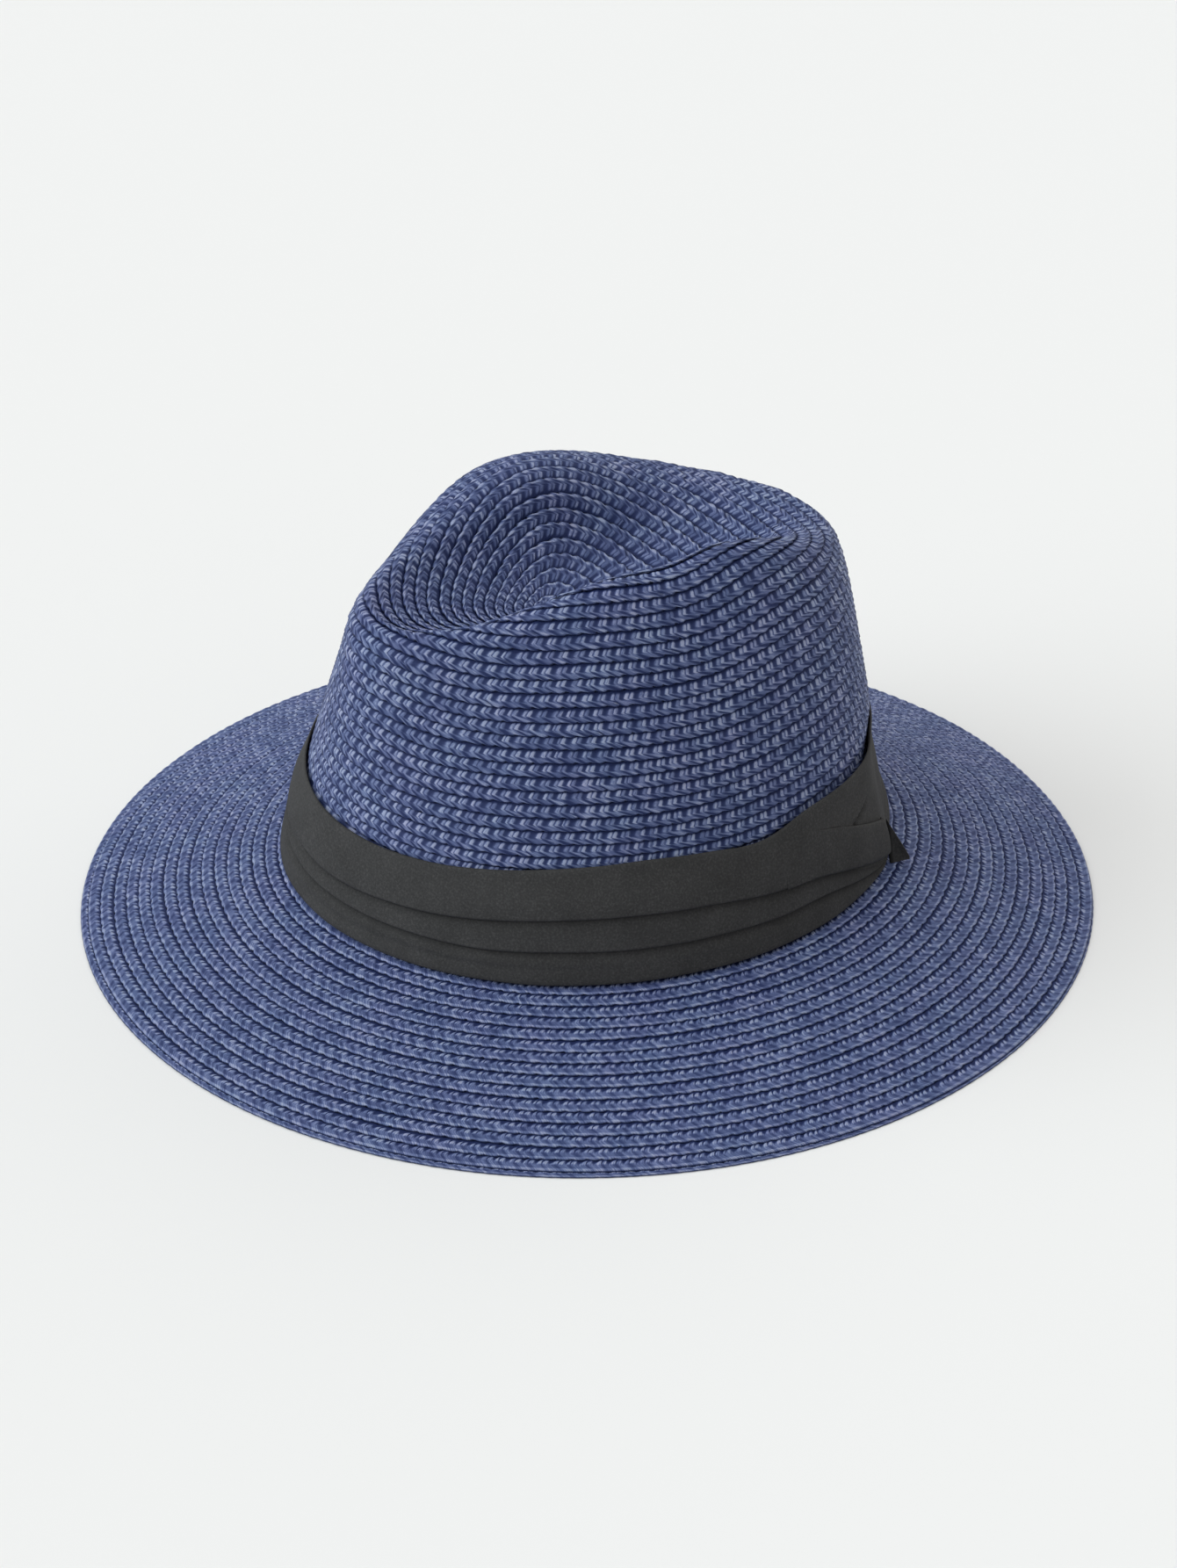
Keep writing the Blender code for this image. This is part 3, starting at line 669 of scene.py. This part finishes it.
# strands of the braid: a row of leaning twin strands, a row of flat loops that lean back, and the lip
def strandGroup():
    tree = bpy.data.node_groups.new("braidStrands", "ShaderNodeTree")
    tree.interface.new_socket("Way", in_out="INPUT", socket_type="NodeSocketVector")
    for name in ("Close", "Dip", "ShadeTeeth", "Gap", "Turn", "Low", "Slit", "LipHighlight", "Fine", "CreaseShading"):
        tree.interface.new_socket(name, in_out="INPUT", socket_type="NodeSocketFloat")
    for name in ("Tone", "Height", "Fleck"):
        tree.interface.new_socket(name, in_out="OUTPUT", socket_type="NodeSocketFloat")
    given, result = tree.nodes.new("NodeGroupInput"), tree.nodes.new("NodeGroupOutput")
    taken = {socket.name: socket for socket in given.outputs}
    split = addNode(tree, "ShaderNodeSeparateXYZ")
    tree.links.new(taken["Way"], split.inputs["Vector"])
    u, side = split.outputs["X"], split.outputs["Y"]
    t = sums(tree, "SUBTRACT", 1.0, sums(tree, "ABSOLUTE", sums(tree, "SUBTRACT", side, 1.0)))
    f = sums(tree, "FRACT", u)

    def lessened(depth, pattern):
        lost = sums(tree, "SUBTRACT", 1.0, pattern)
        return sums(tree, "SUBTRACT", 1.0, sums(tree, "MULTIPLY", depth, lost))

    # a random value for each strand, and the brightness made from it
    def oneOf(place, each, phase, spread, least):
        noise = addNode(tree, "ShaderNodeTexWhiteNoise", noise_dimensions="1D")
        tree.links.new(sums(tree, "FLOOR", sums(tree, "MULTIPLY_ADD", place, each, phase)), noise.inputs["W"])
        return noise.outputs["Value"], sums(tree, "MULTIPLY_ADD", noise.outputs["Value"], spread, least)

    twins = ramp(tree, f, [(0.0, 0.28), (0.05, 0.72), (0.12, 0.96), (0.18, 1.0), (0.26, 0.84), (0.335, 0.52),
                           (0.41, 0.84), (0.49, 1.0), (0.56, 0.96), (0.64, 0.72), (0.70, 0.28), (0.76, 0.05),
                           (0.85, 0.0), (0.94, 0.05), (1.0, 0.28)])
    drift = addNode(tree, "ShaderNodeTexNoise", noise_dimensions="1D", Scale=0.35, Detail=1.0)
    tree.links.new(u, drift.inputs["W"])
    back = sums(tree, "MULTIPLY_ADD", drift.outputs["Fac"], 1.0, sums(tree, "ADD", u, 0.1))
    parting = ramp(tree, f, [(0.23, 0.0), (0.31, 1.0), (0.36, 1.0), (0.44, 0.0)])
    twins = sums(tree, "POWER", twins, taken["Close"])
    twins = sums(tree, "SUBTRACT", twins, sums(tree, "MULTIPLY", parting, taken["Dip"]))
    gap = sums(tree, "SUBTRACT", 1.0, twins)
    # painted shade: the dark line under each lip, toothed by the gaps between the strands
    toothed = sums(tree, "SUBTRACT", t, sums(tree, "MULTIPLY", gap, taken["ShadeTeeth"]))
    turned = ramp(tree, sums(tree, "SUBTRACT", t, taken["Turn"]),
                  [(0.0, 0.0), (0.03, 0.25), (0.07, 0.75), (0.12, 1.0)])
    upperRow = sums(tree, "MULTIPLY", ramp(tree, toothed, [(0.285, 0.0), (0.33, 0.45), (0.40, 1.0)]),
                    sums(tree, "SUBTRACT", 1.0, turned))
    lowerRow = sums(tree, "MULTIPLY", ramp(tree, t, [(0.94, 1.0), (0.98, 0.65), (1.0, 0.25)]), turned)
    loops = ramp(tree, sums(tree, "FRACT", back),
                 [(0.0, 0.0), (0.07, 0.12), (0.15, 0.62), (0.25, 0.95), (0.38, 1.0), (0.54, 0.88),
                  (0.70, 0.95), (0.82, 0.55), (0.91, 0.08), (1.0, 0.0)])
    # a painted highlight along each lip's edge
    edge = ramp(tree, t, [(0.80, 0.0), (0.86, 1.0), (0.94, 1.0), (0.99, 0.2)])
    threads = ramp(tree, sums(tree, "FRACT", sums(tree, "MULTIPLY", u, 6.0)),
                   [(0.0, 0.2), (0.25, 0.9), (0.5, 1.0), (0.75, 0.9), (1.0, 0.2)])
    pick, brightTwin = oneOf(u, 2.0, 0.43, 0.55, 0.73)
    brightLoop = oneOf(back, 2.0, 0.92, 0.45, 0.78)[1]
    brightThread = oneOf(u, 6.0, 5.0, 0.8, 0.6)[1]
    threads = lessened(taken["Fine"], sums(tree, "MULTIPLY", threads, brightThread))
    upper = sums(tree, "MULTIPLY", upperRow, lessened(taken["Gap"], twins))
    lower = sums(tree, "MULTIPLY", taken["Low"], lessened(taken["Slit"], loops))
    lower = sums(tree, "MULTIPLY", lowerRow, lower)
    # in the crease the strands get painted shade and the lips a painted highlight
    inner = ramp(tree, sums(tree, "MULTIPLY", u, 0.001), [(0.30, 1.0), (0.85, 0.0)])
    inner = sums(tree, "MULTIPLY", inner, taken["CreaseShading"])
    creaseShade = sums(tree, "MULTIPLY_ADD", inner, -0.22, 1.0)
    upper = sums(tree, "MULTIPLY", upper, creaseShade)
    lip = sums(tree, "MULTIPLY_ADD", inner, 0.45, taken["LipHighlight"])
    lower = sums(tree, "MULTIPLY_ADD", edge, lip, sums(tree, "MULTIPLY", lower, creaseShade))
    tone = sums(tree, "ADD", upper, lower)
    varied = sums(tree, "MULTIPLY_ADD", upper, brightTwin, sums(tree, "MULTIPLY", lower, brightLoop))
    stretch = addNode(tree, "ShaderNodeVectorMath", operation="MULTIPLY")
    stretch.inputs[1].default_value = (9.0, 5.0, 1.0)
    tree.links.new(taken["Way"], stretch.inputs[0])
    fibre = addNode(tree, "ShaderNodeTexNoise", Scale=1.0, Detail=3.0, Roughness=0.6)
    tree.links.new(stretch.outputs["Vector"], fibre.inputs["Vector"])
    varied = sums(tree, "MULTIPLY", varied, threads)
    shown = sums(tree, "MULTIPLY", varied, sums(tree, "MULTIPLY_ADD", fibre.outputs["Fac"], 1.2, 0.4))
    tree.links.new(shown, result.inputs["Tone"])
    tree.links.new(sums(tree, "MULTIPLY_ADD", fibre.outputs["Fac"], 0.35, tone), result.inputs["Height"])
    bright = sums(tree, "GREATER_THAN", pick, 0.93)
    tree.links.new(sums(tree, "MULTIPLY", bright, upper), result.inputs["Fleck"])
    return tree


strands = strandGroup()


def paperBraid(name, look, tones):
    material, shader = newMaterial(name)
    tree, link = material.node_tree, material.node_tree.links.new
    way = addNode(tree, "ShaderNodeUVMap", uv_map="strandWay")
    coords = addNode(tree, "ShaderNodeTexCoord")
    group = addNode(tree, "ShaderNodeGroup", node_tree=strands)
    link(way.outputs["UV"], group.inputs["Way"])
    for key, value in look.items():
        group.inputs[key].default_value = value
    paper = ramp(tree, group.outputs["Tone"], tones)
    patch = addNode(tree, "ShaderNodeTexNoise", Scale=80.0, Detail=3.0)
    link(coords.outputs["Object"], patch.inputs["Vector"])
    hue = ramp(tree, patch.outputs["Fac"],
               [(0.30, (0.94, 1.0, 0.99)), (0.52, (0.99, 1.0, 1.0)), (0.72, (1.03, 0.99, 1.01))])
    link(tinted(tree, paper, hue), shader.inputs["Base Color"])
    rough = ramp(tree, group.outputs["Fleck"], [(0.0, 0.62), (0.5, 0.34)])
    link(rough, shader.inputs["Roughness"])
    shader.inputs["Specular IOR Level"].default_value = 0.18
    bump = addNode(tree, "ShaderNodeBump", Strength=0.8, Distance=0.35 * mm)
    link(group.outputs["Height"], bump.inputs["Height"])
    link(bump.outputs["Normal"], shader.inputs["Normal"])
    return material


def clothMaterial(name, colour, threadStep, rough, ribbed=False, paintedFoldShade=False):
    material, shader = newMaterial(name)
    tree, link = material.node_tree, material.node_tree.links.new
    way = addNode(tree, "ShaderNodeUVMap", uv_map="clothWay")
    coords = addNode(tree, "ShaderNodeTexCoord")
    split = addNode(tree, "ShaderNodeSeparateXYZ")
    link(way.outputs["UV"], split.inputs["Vector"])
    waves = 2 * math.pi / threadStep
    weave = sums(tree, "SINE", sums(tree, "MULTIPLY", split.outputs["X"], waves))
    if not ribbed:
        weft = sums(tree, "SINE", sums(tree, "MULTIPLY", split.outputs["Y"], waves))
        weave = sums(tree, "MULTIPLY", weave, weft)
    mottle = addNode(tree, "ShaderNodeTexNoise", Scale=90.0, Detail=4.0, Roughness=0.6)
    link(coords.outputs["Object"], mottle.inputs["Vector"])
    dark, pale = (tuple(level * c for c in colour) for level in (0.84, 1.16))
    shade = ramp(tree, mottle.outputs["Fac"], [(0.25, dark), (0.75, pale)])
    lint = addNode(tree, "ShaderNodeTexNoise", Scale=1500.0, Detail=1.0)
    link(coords.outputs["Object"], lint.inputs["Vector"])
    grain = ramp(tree, lint.outputs["Fac"], [(0.3, 0.80), (0.55, 1.0), (0.75, (1.35, 1.34, 1.32))])
    shown = tinted(tree, shade, grain)
    if paintedFoldShade:
        # painted shade from the foldShade map: darker under the pleats, in the tuck and at the tail's root
        crease = addNode(tree, "ShaderNodeUVMap", uv_map="foldShade")
        depth = addNode(tree, "ShaderNodeSeparateXYZ")
        link(crease.outputs["UV"], depth.inputs["Vector"])
        shown = tinted(tree, shown, ramp(tree, depth.outputs["X"], [(0.0, 0.0), (1.0, 1.0)]))
    link(shown, shader.inputs["Base Color"])
    shader.inputs["Roughness"].default_value = rough
    shader.inputs["Specular IOR Level"].default_value = 0.25
    bump = addNode(tree, "ShaderNodeBump", Strength=0.35, Distance=0.12 * mm)
    link(sums(tree, "MULTIPLY_ADD", weave, 0.4, lint.outputs["Fac"]), bump.inputs["Height"])
    link(bump.outputs["Normal"], shader.inputs["Normal"])
    return material


def threadMaterial():
    material, shader = newMaterial("blackThread")
    tree, link = material.node_tree, material.node_tree.links.new
    coords = addNode(tree, "ShaderNodeTexCoord")
    twist = addNode(tree, "ShaderNodeTexWave", Scale=900.0, Distortion=1.5, bands_direction="DIAGONAL")
    link(coords.outputs["Object"], twist.inputs["Vector"])
    black = ramp(tree, twist.outputs["Fac"], [(0.1, (0.012, 0.012, 0.014)), (0.9, (0.045, 0.045, 0.050))])
    link(black, shader.inputs["Base Color"])
    shader.inputs["Roughness"].default_value = 0.6
    bump = addNode(tree, "ShaderNodeBump", Strength=0.5, Distance=0.1 * mm)
    link(twist.outputs["Fac"], bump.inputs["Height"])
    link(bump.outputs["Normal"], shader.inputs["Normal"])
    return material


crownLook = {"Close": 1.0, "Dip": 0.15, "ShadeTeeth": 0.09, "Gap": 0.88, "Turn": 0.645,
             "Low": 0.76, "Slit": 0.95, "LipHighlight": 0.04, "Fine": 0.15, "CreaseShading": 1.0}
# the crown's mid tones are set darker than the brim's, as painted shade for the less light the crown takes
crownTones = [(0.0, (0.011, 0.020, 0.080)), (0.25, (0.028, 0.042, 0.124)), (0.60, (0.081, 0.107, 0.232)),
              (0.88, (0.180, 0.216, 0.378)), (1.0, (0.285, 0.320, 0.475))]
brimLook = {"Close": 0.60, "Dip": 0.70, "ShadeTeeth": 0.16, "Gap": 0.58, "Turn": 0.52,
            "Low": 0.62, "Slit": 0.58, "LipHighlight": 0.40, "Fine": 0.5, "CreaseShading": 0.0}
brimTones = [(0.0, (0.011, 0.020, 0.080)), (0.25, (0.031, 0.046, 0.134)), (0.60, (0.102, 0.133, 0.278)),
             (0.88, (0.204, 0.244, 0.420)), (1.0, (0.290, 0.325, 0.480))]
crownPaper = paperBraid("navyPaperCrown", crownLook, crownTones)
brimPaper = paperBraid("navyPaperBrim", brimLook, brimTones)
charcoal = clothMaterial("charcoalCloth", (0.040, 0.040, 0.041), 0.55 * mm, 0.88, paintedFoldShade=True)
ribbon = clothMaterial("blackRibbon", (0.016, 0.016, 0.018), 1.0 * mm, 0.62, ribbed=True)
thread = threadMaterial()
dress(crownPiece, crownPaper, "braid", "crown_braid")
dress(brimPiece, brimPaper, "braid", "brim_braid")
dress(bandPiece, charcoal, "band_cloth", "hat_band")
dress(foldPiece, charcoal, "band_cloth", "band_knot")
dress(tailPiece, charcoal, "band_cloth", "band_tail")
dress(sweatPiece, ribbon, "ribbon", "sweatband")
for name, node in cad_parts.items():
    if "stitching" in name or "tack" in name:
        node.data.materials.clear()
        node.data.materials.append(thread)
print("pieces dressed")

# each sun: its place (right, toward the camera, up), spread, strength and colour
studioLight = {"floor": 0.836, "world": 0.455,
               "suns": {"keyLight": ((-1.2, 0.15, 1.4), 70.0, 1.50, (0.945, 0.99, 1.0)),
                        "sideLight": ((-1.2, 0.35, 0.45), 55.0, 1.05, (0.90, 0.975, 1.0)),
                        "fillLight": ((0.7, -0.9, 0.9), 80.0, 0.82, (1.0, 0.985, 0.95))}}


def softSun(name, place, spread, strength, colour):
    data = bpy.data.lights.new(name, "SUN")
    data.angle, data.energy, data.color = math.radians(spread), strength, colour
    away = np.array(place) / np.linalg.norm(place)
    side = np.cross([0, 0, 1], away)
    side /= np.linalg.norm(side)
    standAt(name, data, side, np.cross(away, side), away, place)


def studio():
    deselectAll()
    bpy.ops.mesh.primitive_plane_add(size=12, location=(0, 0, 0))
    floor = bpy.context.object
    floor.name = "studioFloor"
    material, shader = newMaterial("paleFloor")
    grey = studioLight["floor"]
    shader.inputs["Base Color"].default_value = (grey, grey, grey, 1)
    shader.inputs["Roughness"].default_value = 0.9
    shader.inputs["Specular IOR Level"].default_value = 0.0
    floor.data.materials.append(material)
    world = bpy.data.worlds.new("studioWorld")
    bpy.context.scene.world = world
    world.use_nodes = True
    sky = world.node_tree.nodes["Background"]
    sky.inputs["Color"].default_value = (1.0, 0.985, 0.965, 1)
    sky.inputs["Strength"].default_value = studioLight["world"]
    toCamera = np.array([viewBack[0], viewBack[1], 0]) / np.hypot(*viewBack[:2])
    toRight = np.array([viewRight[0], viewRight[1], 0])
    for name, (place, spread, strength, colour) in studioLight["suns"].items():
        spot = place[0] * toRight + place[1] * toCamera + np.array([0, 0, place[2]])
        softSun(name, spot, spread, strength, colour)


studio()
print("studio ready")
